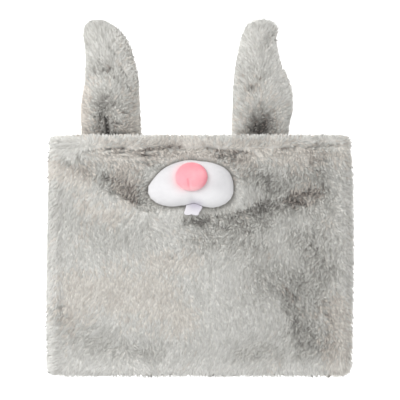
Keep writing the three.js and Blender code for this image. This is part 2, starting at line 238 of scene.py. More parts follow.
def thin_to_cloth(piece):
    """Thins a panel from its outer side, and pulls in its hems, to leave the backing cloth under the pile."""
    for vertex in piece.data.vertices:
        core = wall_core(vertex.co)
        away = vertex.co - core
        at_side = smooth_step(abs(vertex.co.x), SIDE_FOLD_X + 1 * MM, SIDE_FOLD_X + 14 * MM)
        share = CLOTH_SHARE + (SIDE_CLOTH_SHARE - CLOTH_SHARE) * at_side
        place = core + away.normalized() * (HALF_GAP + (away.length - HALF_GAP) * share)
        up = (place.y - BOTTOM_Y) / (TOP_Y - BOTTOM_Y)
        place.y += BOTTOM_PILE * (1 - up) - TOP_PILE * up
        vertex.co = place


def nearness(point, place, width=0.0):
    """1 on a stretch of fabric, falling softly to 0 beside it, within another width where one is given."""
    along = place["along"]
    share = clamp((point.xy - place["start"]).dot(along) / along.length_squared)
    aside = point.xy - place["start"] - share * along
    width = width or place["width"]
    if along.cross(aside) < 0:
        width *= place["below"]
    return math.exp(-aside.length_squared / width**2)


def crease_at(point, creases):
    """How far the pile is parted at a crease: how deep the crease sinks, and how dark its painted shade is.
    """
    return max(crease["dark"] * nearness(point, crease) for crease in creases)


def refine(piece, creases):
    """Gives a piece smaller faces beside the creases of its upper side, so that they can be narrow there."""
    shape = bmesh.new()
    shape.from_mesh(piece.data)

    def beside_crease(vertex):
        return any(nearness(vertex.co, crease, CREASE_MARGIN) > IN_MARGIN for crease in creases)

    close = {vertex for vertex in shape.verts if vertex.normal.z > 0.5 and beside_crease(vertex)}
    edges = [edge for edge in shape.edges if close.issuperset(edge.verts)]
    bmesh.ops.subdivide_edges(shape, edges=edges, cuts=1, use_grid_fill=True)
    shape.to_mesh(piece.data)
    shape.free()
    piece.data.shade_smooth()


def sink(piece, creases, depth):
    """Presses creases into the upper side of a piece."""
    upper_side = [vertex for vertex in piece.data.vertices if vertex.normal.z > 0.3]
    for vertex in upper_side:
        vertex.co.z -= depth * crease_at(vertex.co, creases)


def store(piece, name, kind, values):
    """Keeps one value a vertex on the piece."""
    layer = piece.data.attributes.new(name, kind, "POINT")
    if kind == "FLOAT_VECTOR":
        layer.data.foreach_set("vector", [part for value in values for part in value])
    else:
        layer.data.foreach_set("value", values)


def comb(piece, strand_at):
    """Keeps on each vertex how the pile grows there, as strand_at says."""
    found = [strand_at(vertex.co.copy(), vertex.normal.copy()) for vertex in piece.data.vertices]
    store(piece, "nap", "FLOAT_VECTOR", [strand["nap"] for strand in found])
    for name in PILE_VALUES:
        store(piece, name, "FLOAT", [strand[name] for strand in found])


# How the pile grows

# What a vertex keeps besides nap, the way that the strands point. Length, cover and warmth are shares, lift
# turns the strands up in radians, tone runs from dark to light, and parted says how much the pile shows its
# dark roots.
PILE_VALUES = ("length", "cover", "lift", "tone", "parted", "warmth")


def stretch(name, start, end, width, dark=0.0, opened=0.0, below=1.0, turn=0.0):
    """A stretch of fabric between two places, in millimetres from the middle of the bounding box.

    width is its soft half width, times below on its lower side. dark is how far its tone falls as painted
    shade, or rises as painted light where it is negative, opened how far its pile parts, and turn how its nap
    was brushed, in degrees from straight down towards the right."""
    first = Vector(start) * MM
    return {
        "name": name,
        "start": first,
        "along": Vector(end) * MM - first,
        "width": width * MM,
        "dark": dark,
        "opened": opened,
        "below": below,
        "turn": math.radians(turn),
    }


def crooked(name, *corners):
    """The creases along a crooked line: x, y, width and darkness where each starts, and x, y at the end."""
    pairs = zip(corners, corners[1:])
    return [stretch(name, here[:2], there[:2], width=here[2], dark=here[3]) for here, there in pairs]


# Where the fabric is pulled or pressed in, so that its pile opens, with painted shade on its tone where it
# turns from the light, and painted light where a stretch's dark is negative
PRESSED_AND_SHADED_STRETCHES = [
    stretch("left pull, start", (-140, 33), (-105, 20), width=8, dark=0.18, opened=0.5, below=0.7),
    stretch("left pull, core", (-98, 20), (-64, 5), width=8, dark=0.26, opened=0.8),
    stretch("left pull", (-100, 9), (-77, 0), width=9, dark=0.2, opened=0.9, below=0.4),
    stretch("left pull, end", (-77, 0), (-51, -11), width=9, dark=0.22, opened=1.0, below=0.35),
    stretch("left of the nose", (-56, 41), (-40, 31), width=7, dark=0.16, opened=0.4),
    stretch("left of the muzzle", (-82, 20), (-61, 12), width=9, dark=0.2, opened=0.4),
    stretch("left cheek", (-121, 35), (-63, 28), width=10, dark=0.17, opened=0.3),
    stretch("left cheek, inner", (-60, 25), (-60, 8), width=8, dark=0.14, opened=0.3),
    stretch("over the muzzle, left", (-56, 47), (-29, 50), width=8, dark=0.16, opened=0.6),
    stretch("over the muzzle", (-25, 44), (6, 45), width=5, dark=0.16, opened=0.4),
    stretch("over the muzzle, right", (13, 47), (33, 39), width=7, dark=0.24, opened=0.8),
    stretch("under the hem, right", (40, 58), (66, 54), width=9, dark=0.13, opened=0.3),
    stretch("beside the hem's seam", (36, 47), (52, 41), width=7, dark=0.2, opened=0.4),
    stretch("right swirl", (52, 24), (69, 16), width=10, dark=0.28, opened=0.6),
    stretch("right band", (79, 47), (146, 47), width=9, dark=0.05, opened=0.5),
    stretch("right of the muzzle", (35, 30), (100, 25), width=14, dark=0.14, opened=0.5),
    stretch("under the teeth", (-16, -24), (2, -25), width=5, dark=0.5, opened=1.0),
    stretch("right sweep", (6, -21), (40, -17), width=6, dark=0.2, opened=0.9, below=1.5),
    stretch("right sweep, lower", (13, -32), (71, -26), width=9, dark=0.13, opened=0.9),
    stretch("right pull, start", (40, -16), (66, -8), width=5, dark=0.26, opened=0.9, below=2.6),
    stretch("right pull", (66, -8), (98, -2), width=9, dark=0.34, opened=1.0, below=1.6),
    stretch("right pull, end", (98, -1), (129, 8), width=8, dark=0.29, opened=1.0, below=1.3),
    stretch("over the pull, right", (77, 9), (94, 11), width=7, dark=0.18, opened=0.6),
    stretch("over the right pull", (75, 16), (128, 22), width=9, dark=0.13, opened=0.6),
    stretch("under the right pull", (104, -22), (122, -24), width=9, dark=-0.12),
    stretch("over the right pull, left", (88, 24), (96, 22), width=7, dark=-0.08),
    stretch("middle, under the sweep", (12, -40), (26, -41), width=7, dark=-0.07),
    stretch("hem, right of the middle", (10, 57), (30, 57), width=6, dark=-0.08),
    stretch("upper left", (-136, 56), (-128, 53), width=8, dark=0.07),
    stretch("left side, upper", (-150, 9), (-130, 6), width=9, dark=0.07),
    stretch("upper right corner", (148, 38), (149, 60), width=7, dark=-0.13),
    stretch("right middle", (-4, -41), (65, -51), width=14, dark=0.18, opened=0.6),
    stretch("left middle", (-144, -15), (-100, -41), width=20, dark=0.15, opened=0.1),
    stretch("under the left pull", (-83, -37), (-58, -40), width=14, dark=0.11, opened=0.1),
    stretch("left side, middle", (-133, -42), (-133, -100), width=9, dark=0.08),
    stretch("left fold", (-153, -20), (-153, -28), width=8, dark=-0.09, opened=0.1),
    stretch("left fold, low", (-154, -62), (-154, -183), width=12, dark=-0.06),
    stretch("right side", (125, 25), (125, -150), width=28, dark=0.12, opened=0.6),
    stretch("right fold", (154, 28), (154, -170), width=13, dark=-0.05, opened=0.3),
    stretch("right side, upper", (105, -41), (130, -68), width=19, dark=0.14, opened=0.7),
    stretch("right side, middle", (69, -85), (117, -97), width=25, dark=0.16, opened=0.7),
    stretch("right valley", (94, -105), (111, -160), width=12, dark=0.2, opened=0.8),
    stretch("left of the valley", (69, -99), (84, -103), width=10, dark=0.03, opened=0.5),
    stretch("beside the valley", (131, -112), (131, -126), width=9, dark=-0.07),
    stretch("under the valley", (88, -165), (97, -165), width=8, dark=0.08),
    stretch("right side, low", (105, -135), (130, -152), width=20, dark=0.09, opened=0.8),
    stretch("right of the low middle", (69, -156), (79, -166), width=12, dark=0.1, opened=0.4),
    stretch("low right", (44, -164), (59, -164), width=9, dark=0.16, opened=0.6),
    stretch("low left", (-115, -151), (-50, -164), width=12, dark=0.15, opened=0.4),
    stretch("low left side", (-144, -124), (-130, -145), width=8, dark=0.1, opened=0.4),
]

# The short creases where the pile parts to its roots, sunk in and darkened with painted shade, along the
# stitching of the hem and elsewhere
CREASES = [
    *crooked("hem, left", (-123, 48, 1.5, 0.4), (-103, 50, 1.8, 0.7), (-80, 51, 1.8, 0.6), (-71, 48)),
    *crooked("hem", (-71, 48, 1.8, 0.6), (-47, 51, 2.2, 0.5), (-29, 52, 1.4, 0.4), (-10, 49)),
    *crooked("hem, middle", (-10, 49, 1.4, 0.4), (7, 52, 1.6, 0.5), (23, 49, 1.8, 0.5), (52, 47)),
    stretch("hem, right 1", (81, 50), (101, 53), width=1.6, dark=0.5),
    stretch("hem, right 2", (112, 52), (146, 55), width=1.4, dark=0.4),
    *crooked("under the hem", (-96, 46, 1.6, 0.6), (-78, 47, 1.6, 0.5), (-54, 43, 2, 0.3), (-44, 45)),
    stretch("under the hem, left", (-103, 44), (-73, 42), width=1.2, dark=0.3),
    *crooked("left cheek", (-92, 36, 1.2, 0.2), (-73, 37, 1.4, 0.3), (-50, 35)),
    stretch("left side", (-127, 50), (-128, 39), width=1.2, dark=0.2),
    stretch("left spot", (-140, 38), (-137, 34), width=1.5, dark=0.3),
    stretch("left pull, spot", (-99, 22), (-96, 19), width=1.8, dark=0.4),
    stretch("left pull, locks 1", (-92, 6), (-76, -2), width=1.4, dark=0.3),
    stretch("left pull, locks 2", (-76, 0), (-62, -8), width=1.4, dark=0.3),
    stretch("left pull, locks 3", (-66, -11), (-50, -15), width=1.4, dark=0.4),
    stretch("over the muzzle, right", (19, 42), (37, 45), width=2.2, dark=0.35),
    *crooked("right lobe", (46, -16, 2.0, 0.12), (66, -3, 2.0, 0.12), (80, 6)),
    stretch("right pull 1", (96, -4), (112, -8), width=1.6, dark=0.4),
    stretch("right pull 2", (98, 5), (120, 3), width=1.6, dark=0.35),
    *crooked("upper right", (112, 31, 1.4, 0.3), (120, 41, 1.4, 0.3), (133, 39)),
    stretch("upper right, lower", (121, 30), (130, 22), width=1.4, dark=0.3),
    stretch("under the sweep 1", (45, -37), (55, -35), width=1.5, dark=0.4),
    stretch("under the sweep 2", (18, -30), (30, -34), width=1.5, dark=0.3),
    stretch("middle 1", (-34, -62), (-28, -64), width=1.4, dark=0.3),
    stretch("middle 2", (1, -58), (7, -59), width=1.4, dark=0.3),
    stretch("right valley", (82, -99), (100, -108), width=1.4, dark=0.15),
    stretch("low left 1", (-117, -140), (-109, -134), width=1.4, dark=0.3),
    stretch("low left 2", (-153, -117), (-141, -114), width=1.4, dark=0.3),
    stretch("low right", (132, -123), (138, -131), width=1.8, dark=0.4),
]

# Where the nap was brushed aside
BRUSHED_STRETCHES = [
    stretch("under the hem, left", (-120, 44), (-52, 42), width=12, turn=80),
    stretch("upper left corner", (-157, 50), (-130, 50), width=10, turn=-55),
    stretch("over the left pull", (-95, 26), (-66, 16), width=11, turn=-30),
    stretch("under the left pull", (-95, 4), (-52, -12), width=7, turn=55),
    stretch("left side", (-140, 20), (-140, -60), width=16, turn=-20),
    stretch("right lobe", (38, 10), (62, 2), width=12, turn=35),
    stretch("right swirl", (50, 30), (75, 18), width=10, turn=-70),
    stretch("upper right", (108, 44), (138, 24), width=14, turn=50),
    stretch("right pull", (66, -6), (126, 8), width=10, turn=-35),
    stretch("under the muzzle", (-40, -32), (10, -36), width=12, turn=65),
    stretch("right sweep", (10, -24), (60, -18), width=10, turn=40),
    stretch("right side", (146, -60), (150, -130), width=14, turn=45),
    stretch("right valley", (60, -90), (96, -120), width=18, turn=35),
    stretch("low right", (108, -140), (126, -165), width=18, turn=-35),
    stretch("low left", (-130, -140), (-100, -150), width=14, turn=-60),
    stretch("low middle", (-50, -100), (10, -110), width=24, turn=20),
]

# Beige stretches among the cooler grey
WARM_STRETCHES = [
    stretch("under the top edge", (-105, 48), (152, 48), width=14),
    stretch("low left", (-130, -98), (-52, -104), width=30),
    stretch("low middle", (-45, -112), (-25, -125), width=18),
    stretch("middle", (-48, -66), (-10, -68), width=12),
    stretch("left cheek", (-82, 30), (-76, -2), width=13),
    stretch("left side", (-150, 30), (-124, 22), width=14),
    stretch("left of the middle", (-118, -8), (-92, -18), width=14),
    stretch("right of the pull", (100, -2), (122, 4), width=10),
    stretch("right side", (142, -112), (146, -185), width=17),
    stretch("left ear's left edge", (-123, 66), (-121, 110), width=7),
    stretch("left ear's foot", (-78, 66), (-68, 76), width=10),
]

# The ears' own pressed stretches and creases, whose dark is painted shade. A stretch with a negative dark is
# painted light, lighter than the rest.
LEFT_EAR_PRESSED_AND_SHADED = [
    stretch("pinch", (-98, 66), (-101, 92), width=14, dark=0.22, opened=0.9),
    stretch("lower right", (-80, 72), (-74, 100), width=14, dark=0.12, opened=0.6),
    stretch("lower left", (-116, 70), (-115, 88), width=10, dark=0.02, opened=0.3),
    stretch("above the pinch", (-103, 98), (-97, 104), width=9, dark=0.1, opened=0.4),
    stretch("fold", (-103, 134), (-82, 124), width=9, dark=0.1, opened=0.5),
    stretch("right edge", (-84, 172), (-62, 110), width=9, dark=-0.24, opened=0.8),
    stretch("right edge, low", (-61, 110), (-61, 70), width=8, dark=-0.22, opened=0.6),
    stretch("top", (-92, 180), (-74, 160), width=8, dark=-0.14, opened=0.1),
]
LEFT_EAR_CREASES = [
    stretch("crease", (-96, 60), (-99, 84), width=1.8, dark=0.68),
    stretch("beside the crease", (-106, 74), (-104, 88), width=1.3, dark=0.2),
    stretch("right of the crease 1", (-90, 67), (-80, 66), width=1.3, dark=0.35),
    stretch("right of the crease 2", (-91, 79), (-82, 76), width=1.3, dark=0.35),
    stretch("right of the crease 3", (-86, 92), (-76, 87), width=1.3, dark=0.3),
    stretch("over the crease", (-102, 102), (-97, 105), width=1.6, dark=0.2),
    stretch("middle 1", (-101, 131), (-92, 135), width=1.4, dark=0.22),
    stretch("middle 2", (-84, 137), (-77, 126), width=1.4, dark=0.3),
    stretch("middle 3", (-78, 118), (-70, 108), width=1.3, dark=0.3),
    stretch("high 1", (-96, 158), (-89, 150), width=1.4, dark=0.22),
    stretch("high 2", (-80, 158), (-74, 148), width=1.4, dark=0.3),
]
RIGHT_EAR_PRESSED_AND_SHADED = [
    stretch("pinch", (65, 64), (66, 75), width=14, dark=0.59, opened=1.0),
    stretch("right of the pinch", (78, 72), (80, 84), width=10, dark=0.1, opened=0.6),
    stretch("middle", (56, 116), (60, 126), width=11, dark=0.06, opened=0.4),
    stretch("right edge, high", (84, 176), (88, 140), width=10, dark=-0.26, opened=0.3),
    stretch("right edge", (86, 140), (98, 105), width=10, dark=-0.2, opened=0.3),
    stretch("left foot", (40, 66), (40, 74), width=10, dark=-0.26, opened=0.2),
    stretch("top", (68, 172), (84, 179), width=10, dark=-0.14, opened=0.1),
    stretch("tip", (78, 172), (70, 160), width=7, dark=-0.08, opened=0.6),
]
RIGHT_EAR_CREASES = [
    stretch("crease", (62, 62), (64, 74), width=1.8, dark=0.3),
    stretch("left of the crease 1", (60, 80), (57, 70), width=1.6, dark=0.2),
    stretch("left of the crease 2", (50, 75), (54, 71), width=1.5, dark=0.3),
    stretch("left of the crease 3", (56, 88), (58, 81), width=1.6, dark=0.2),
    stretch("over the crease", (65, 92), (67, 85), width=1.6, dark=0.2),
    stretch("right of the crease 1", (68, 80), (70, 70), width=1.6, dark=0.25),
    stretch("right of the crease 2", (72, 87), (76, 80), width=1.5, dark=0.2),
    stretch("middle 1", (52, 112), (58, 117), width=1.3, dark=0.16),
    stretch("middle 2", (58, 128), (64, 122), width=1.3, dark=0.16),
    stretch("tip", (75, 174), (80, 164), width=1.6, dark=0.4),
]

# The face
NOTCH = stretch("shadow where the two cheeks meet", (-7, -8), (-2, -8), width=5)
TUCK = stretch("gathered line down the nose", (-13, 19), (-10.5, 6), width=0.9)


def warmth_at(point):
    """The share of beige strands."""
    warm = 0.12 + 0.35 * drift(point, 30 * MM, 4.0)
    warm += 0.8 * max(nearness(point, place) for place in WARM_STRETCHES)
    return clamp(warm)


def swirl(point, seed=0.0):
    """How the nap has been ruffled."""
    broad = Vector((drift(point, 52 * MM, 1 + seed), drift(point, 52 * MM, 2 + seed), 0))
    fine = Vector((drift(point, 13 * MM, 3 + seed), drift(point, 13 * MM, 5 + seed), 0))
    return 1.1 * broad + 0.6 * fine


def tone_at(point, seed=0.0):
    """Light and dark patches of the pile, with a few small partings painted darker as shade."""
    parting = smooth_step(drift(point, 7 * MM, 12 + seed), 0.3, 0.6)
    broad = 0.05 * drift(point, 45 * MM, 7 + seed)
    fine = 0.06 * drift(point, 9 * MM, 8 + seed)
    return 0.785 + broad + fine - 0.14 * parting


def brushed(point):
    """How the nap is turned by the stretches that were brushed aside."""
    turned = Vector((0, 0, 0))
    for place in BRUSHED_STRETCHES:
        way = Vector((math.sin(place["turn"]), -math.cos(place["turn"]), 0))
        turned += 2.0 * nearness(point, place) * way
    return turned


def to_side(point):
    """How far the nap turns to a side fold near it."""
    return math.copysign(smooth_step(abs(point.x), SIDE_TURN * HALF_WIDTH, HALF_WIDTH), point.x)


def front_strand(point, normal):
    """The pile of the tube's front, as comb wants it."""
    outward = (point - wall_core(point)).normalized().dot(normal)
    reached = [(place, nearness(point, place)) for place in PRESSED_AND_SHADED_STRETCHES]
    # pressed is the painted shade of the stretches, painted light where a stretch's dark is negative
    pressed = sum(place["dark"] * near for place, near in reached)
    opened = clamp(max(place["opened"] * near for place, near in reached))
    groove_y = TOP_Y - HEM_DEPTH + 1.5 * MM * drift(point, 40 * MM, 6.0)
    in_hem = smooth_step(point.y, groove_y - 1 * MM, groove_y + 1.5 * MM)
    creased = crease_at(point, CREASES)
    creased *= clamp(0.9 + 0.6 * drift(point, 9 * MM, 6.5))
    nearest, _, _, muzzle_gap = muzzle_surface.find_nearest(point + UP * 4 * MM)
    beside = 1 - smooth_step(muzzle_gap, 2 * MM, 12 * MM)
    rim = 1 - smooth_step(muzzle_gap, 1.5 * MM, 4.5 * MM)
    from_muzzle = Vector((point.x - nearest.x, point.y - nearest.y, 0))
    at_top = smooth_step(point.y, TOP_Y - 5 * MM, TOP_Y - 2 * MM)
    nap = Vector((1.2 * to_side(point), -1, 0)) + (swirl(point) + brushed(point)) * (1 - at_top)
    nap += 2.4 * beside * from_muzzle.normalized() + Vector((0, 1.6 * in_hem + 0.6 * at_top, 0))
    covered = muzzle_surface.ray_cast(point, UP)[0] or teeth_surface.ray_cast(point, UP)[0]
    at_side = abs(to_side(point))
    at_right = smooth_step(point.x, 147 * MM, 157 * MM)
    at_left = smooth_step(-point.x, 147 * MM, 157 * MM) * smooth_step(point.y, -100 * MM, -60 * MM)
    low = 1 - smooth_step(point.y, BOTTOM_Y + 10 * MM, BOTTOM_Y + 22 * MM)
    # level is painted light and shade: lighter along the right edge and the bottom, darker along the upper
    # left edge and the hem band
    level = 0.12 * at_right - 0.06 * at_left - 0.04 * in_hem + 0.14 * low
    lift = 0.06 * drift(point, 12 * MM, 9.0) + 0.35 * opened + 0.3 * creased - 0.1 * beside + 0.3 * at_side
    return {
        "nap": nap.normalized(),
        "length": 1 - 0.35 * beside - 0.5 * creased - 0.35 * at_top,
        "cover": 0.0 if covered else smooth_step(outward, -0.35, 0.1) * (1 - 0.8 * creased),
        "lift": lift,
        # The tone takes painted shade from the pressed stretches, the creases and the rim beside the muzzle
        "tone": clamp(tone_at(point) + level - pressed - creased - 0.4 * rim),
        "parted": clamp(0.9 * opened + creased),
        "warmth": warmth_at(point),
    }


def back_strand(point, normal):
    """The pile of the tube's back, pressed down where it lies on the table."""
    outward = (point - wall_core(point)).normalized().dot(normal)
    nap = Vector((1.2 * to_side(point), -1, 0)) + swirl(point, 20)
    under = smooth_step(-normal.z, 0.3, 0.8)
    at_edge = max(abs(to_side(point)), 1 - smooth_step(point.y, BOTTOM_Y + 2 * MM, BOTTOM_Y + 9 * MM))
    return {
        "nap": nap.normalized(),
        "length": 1 - 0.15 * under - 0.4 * at_edge,
        "cover": smooth_step(outward, -0.35, 0.1),
        "lift": -0.2 * under,
        # The tone is painted lighter at the side folds and the bottom edge, as painted light against their
        # shade
        "tone": clamp(tone_at(point, 20) + 0.12 * at_edge),
        "parted": 0.0,
        "warmth": warmth_at(point),
    }


def ear_strand(middle_x, stretches, creases, level, across, tip_length):
    """The pile of one ear, which grows up and outwards from its middle line.

    level is its tone against the tube's, across how far that rises to the right, as painted light against the
    shade of its right flank, and tip_length how much longer its tip's pile is. The first stretch is the pinch
    at its base, and the first crease its parting."""

    def strand(point, normal):
        aside = (point.x - middle_x) / EAR_HALF_WIDTH
        along = clamp((point.y - TOP_Y) / EAR_LENGTH)
        facing = smooth_step(normal.z, -0.2, 0.4)
        reached = [(place, facing * nearness(point, place)) for place in stretches]
        # pressed is the painted shade of the ear's stretches, painted light where a stretch's dark is
        # negative; the creases add painted shade to the tone
        pressed = sum(place["dark"] * near for place, near in reached)
        opened = clamp(max(place["opened"] * near for place, near in reached))
        pinched = reached[0][1]
        creased = facing * crease_at(point, creases)
        from_crease = math.copysign(1, point.x - creases[0]["start"].x)
        at_tip = smooth_step(along, 0.8, 1.0)
        nap = Vector((1.1 * aside + 1.2 * pinched * from_crease, 0.85 - 0.6 * pinched, 0))
        nap += 0.6 * swirl(point, 40)
        under = smooth_step(-normal.z, 0.3, 0.8)
        return {
            "nap": nap.normalized(),
            "length": 0.95 - 0.3 * pinched - 0.4 * creased - 0.35 * under + tip_length * at_tip * facing,
            "cover": (1 - smooth_step(-normal.y, 0.5, 0.9)) * (1 - creased),
            "lift": 0.08 * drift(point, 12 * MM, 9.0) + 0.3 * opened - 0.2 * under,
            "tone": clamp(tone_at(point, 40) + level + across * aside - pressed - creased),
            "parted": clamp(opened + creased),
            "warmth": clamp(warmth_at(point) + 0.2 * (1 - along)),
        }

    return strand


# Tufts


def make_tuft(name, seed, drawn):
    """A tuft of tapered strands, one unit long, that lean along +X.

    drawn is how far their tips draw together, from 0, a loose tuft, to 1, a pointed lock."""
    chance = random.Random(seed)
    shape = bmesh.new()
    uv = shape.loops.layers.uv.new("OFBake")
    gather = Vector((0.9, chance.uniform(-0.1, 0.1), 0.24 + 0.15 * drawn))
    for _ in range(STRANDS_IN_TUFT):
        root = Vector((chance.uniform(-0.24, 0.24), chance.uniform(-0.22, 0.22), -0.03))
        jitter = Vector([reach * chance.uniform(-1, 1) for reach in (0.1, 0.09, 0.07)])
        tip = (root + Vector((0.9, 0, 0.26))).lerp(gather, drawn) + jitter * (1 - drawn)
        tip = root + (tip - root) * chance.uniform(0.7, 1.05)
        width = chance.uniform(0.052, 0.075)
        shade = chance.random()
        leaning = (tip - root).to_track_quat("Z", "Y").to_matrix()
        cone = bmesh.ops.create_cone(shape, cap_ends=True, segments=3, radius1=width, radius2=0, depth=1)
        for vert in cone["verts"]:
            is_tip = vert.co.z > 0
            vert.co = tip if is_tip else root + leaning @ Vector((vert.co.x, vert.co.y, 0))
            for loop in vert.link_loops:
                loop[uv].uv = (shade, 1.0 if is_tip else 0.02)
    mesh = bpy.data.meshes.new(name)
    shape.to_mesh(mesh)
    shape.free()
    mesh.shade_smooth()
    return bpy.data.objects.new(name, mesh)


# The library that the pile is planted from: loose tufts first, then locks for where the pile has parted.
LOOSE_TUFTS = 4
LOCKS = 4
tufts = bpy.data.collections.new("tufts")
for number in range(LOOSE_TUFTS):
    tufts.objects.link(make_tuft(f"tuft_{number}", number, 0.2))
for number in range(LOCKS):
    tufts.objects.link(make_tuft(f"tuft_{LOOSE_TUFTS + number}", 10 + number, 0.75))


# How far each tuft differs from the next. Beige and lock are what warmth and parted must pass.
CHANCES = {
    "tone": (-0.1, 0.1),
    "beige": (0.2, 0.8),
    "tilt": (-0.08, 0.08),
    "yaw": (-1, 1),
    "length": (0.82, 1.12),
    "kind": (0, LOOSE_TUFTS),
    "open tone": (-0.2, 0.2),
    "lock": (0.1, 0.9),
}


def pile_tree(name, spacing, seed, south, north):
    """Geometry nodes that grow tufts on a combed piece, between two places along Y."""
    tree = bpy.data.node_groups.new(name, "GeometryNodeTree")
    tree.interface.new_socket("Geometry", in_out="INPUT", socket_type="NodeSocketGeometry")
    tree.interface.new_socket("Geometry", in_out="OUTPUT", socket_type="NodeSocketGeometry")
    start = add_node(tree, "NodeGroupInput")
    kept = {}
    for value in (*PILE_VALUES, "palette"):
        kept[value] = add_node(tree, "GeometryNodeInputNamedAttribute", FLOAT, {"Name": value})
    for value in ("nap", "ground", "OFBake"):
        vector = {"data_type": "FLOAT_VECTOR"}
        kept[value] = add_node(tree, "GeometryNodeInputNamedAttribute", vector, {"Name": value})
    chance = {}
    for number, (use, (low, high)) in enumerate(CHANCES.items(), start=1):
        drawn = add_node(tree, "FunctionNodeRandomValue", FLOAT, {2: low, 3: high, "Seed": seed + number})
        chance[use] = drawn.outputs[1]

    grown = add_node(
        tree,
        "GeometryNodeDistributePointsOnFaces",
        {"distribute_method": "POISSON"},
        {
            "Mesh": start,
            "Distance Min": spacing,
            "Density Max": TRIES / spacing**2,
            "Density Factor": kept["cover"],
            "Seed": seed,
        },
    )
    place = add_node(tree, "GeometryNodeInputPosition")
    parts = add_node(tree, "ShaderNodeSeparateXYZ", None, {0: place})
    past_south = maths(tree, "GREATER_THAN", parts.outputs["Y"], south)
    before_north = maths(tree, "LESS_THAN", parts.outputs["Y"], north)
    inside = maths(tree, "MULTIPLY", past_south, before_north)
    chosen = {"Geometry": grown.outputs["Points"], "Selection": inside}
    band = add_node(tree, "GeometryNodeSeparateGeometry", {"domain": "POINT"}, chosen)

    # Clumps of pile: a fine noise that is drawn out along the nap
    clump = add_node(tree, "ShaderNodeValue")
    clump.outputs[0].default_value = -0.5 * CLUMP_SAMPLES
    for number in range(CLUMP_SAMPLES):
        step = (number - CLUMP_SAMPLES // 2) * CLUMP_STEP
        along = {0: kept["nap"], 1: (step, step, step), 2: place}
        spot = add_node(tree, "ShaderNodeVectorMath", {"operation": "MULTIPLY_ADD"}, along)
        fine = {"Vector": spot, "Scale": 1 / CLUMP_WIDTH, "Detail": 0.0}
        sample = add_node(tree, NOISE, None, fine)
        clump = maths(tree, "ADD", clump, sample)
    contrast = maths(tree, "MULTIPLY_ADD", kept["parted"], OPEN_CONTRAST, CLUMP_CONTRAST)
    random_tone = maths(tree, "ADD", kept["tone"], chance["tone"])
    clump_tone = maths(tree, "MULTIPLY_ADD", clump, contrast, random_tone)
    open_tone = maths(tree, "MULTIPLY_ADD", kept["parted"], chance["open tone"], clump_tone)
    brightest = maths(tree, "ADD", kept["tone"], BRIGHTEST)
    tone = add_node(tree, "ShaderNodeClamp", None, {"Value": open_tone, "Min": 0.0, "Max": brightest})
    toned = add_node(tree, KEEP, ON_POINTS, {"Geometry": band, "Name": "tone", "Value": tone})
    beige = maths(tree, "GREATER_THAN", kept["warmth"], chance["beige"])
    coloured = add_node(tree, KEEP, ON_POINTS, {"Geometry": toned, "Name": "palette", "Value": beige})
    grounded = add_node(
        tree,
        KEEP,
        {"data_type": "FLOAT_VECTOR", "domain": "POINT"},
        {"Geometry": coloured, "Name": "ground", "Value": grown.outputs["Normal"]},
    )

    # Each tuft stands on the cloth, leans along the nap, and is tilted and turned a little
    align = "FunctionNodeAlignRotationToVector"
    upright = add_node(tree, align, {"axis": "Z"}, {"Vector": grown.outputs["Normal"]})
    along_nap = {"Rotation": upright, "Vector": kept["nap"]}
    combed = add_node(tree, align, {"axis": "X", "pivot_axis": "Z"}, along_nap)
    tilt = maths(tree, "SUBTRACT", chance["tilt"], kept["lift"])
    freedom = maths(tree, "ADD", kept["parted"], FREEDOM)
    yaw = maths(tree, "MULTIPLY", chance["yaw"], freedom)
    ruffle = add_node(tree, "ShaderNodeCombineXYZ", None, {"Y": tilt, "Z": yaw})
    ruffled = {"Rotation": combed, "Rotate By": ruffle}
    turned = add_node(tree, "FunctionNodeRotateRotation", {"rotation_space": "LOCAL"}, ruffled)
    share = maths(tree, "MULTIPLY", kept["length"], chance["length"])
    length = maths(tree, "MULTIPLY", share, TUFT_LENGTH)
    size = add_node(tree, "ShaderNodeCombineXYZ", None, {"X": length, "Y": TUFT_LENGTH, "Z": length})
    apart = {"Collection": tufts, "Separate Children": True, "Reset Children": True}
    library = add_node(tree, "GeometryNodeCollectionInfo", None, apart)
    as_lock = maths(tree, "GREATER_THAN", kept["parted"], chance["lock"])
    loose = maths(tree, "FLOOR", chance["kind"])
    pick = maths(tree, "MULTIPLY_ADD", as_lock, LOOSE_TUFTS, loose)
    placing = {"Points": grounded, "Instance": library, "Rotation": turned, "Scale": size}
    picking = {"Pick Instance": True, "Instance Index": pick}
    planted = add_node(tree, "GeometryNodeInstanceOnPoints", None, placing | picking)
    real = add_node(tree, "GeometryNodeRealizeInstances", None, {"Geometry": planted})

    # Each strand's place in the colours: palette, tone and own shade across, and root to tip upwards. Where
    # the pile has parted, its own shade counts for more and its root takes more painted shade.
    strand_uv = add_node(tree, "ShaderNodeSeparateXYZ", None, {0: kept["OFBake"]})
    own_shade = maths(tree, "SUBTRACT", strand_uv.outputs["X"], 0.5)
    weight = maths(tree, "MULTIPLY_ADD", kept["parted"], OPEN_SHADE, OWN_SHADE)
    toned_part = maths(tree, "MULTIPLY_ADD", kept["tone"], TONE_SPAN, DARKEST_TONE)
    shaded_part = maths(tree, "MULTIPLY_ADD", own_shade, weight, toned_part)
    last = PALETTE - 2 * PALETTE_MARGIN
    within = add_node(tree, "ShaderNodeClamp", None, {"Value": shaded_part, "Min": 0.0, "Max": last})
    across = maths(tree, "MULTIPLY_ADD", kept["palette"], PALETTE, within)
    inset = maths(tree, "ADD", across, PALETTE_MARGIN)
    root = maths(tree, "MULTIPLY_ADD", kept["parted"], -ROOT_SHADOW, ROOT_SHADOW)
    rest = maths(tree, "SUBTRACT", 1.0, root)
    upwards = maths(tree, "MULTIPLY_ADD", rest, strand_uv.outputs["Y"], root)
    new_uv = add_node(tree, "ShaderNodeCombineXYZ", None, {"X": inset, "Y": upwards})
    as_uv = {"data_type": "FLOAT2", "domain": "CORNER"}
    mapped = add_node(tree, KEEP, as_uv, {"Geometry": real, "Name": "OFBake", "Value": new_uv})

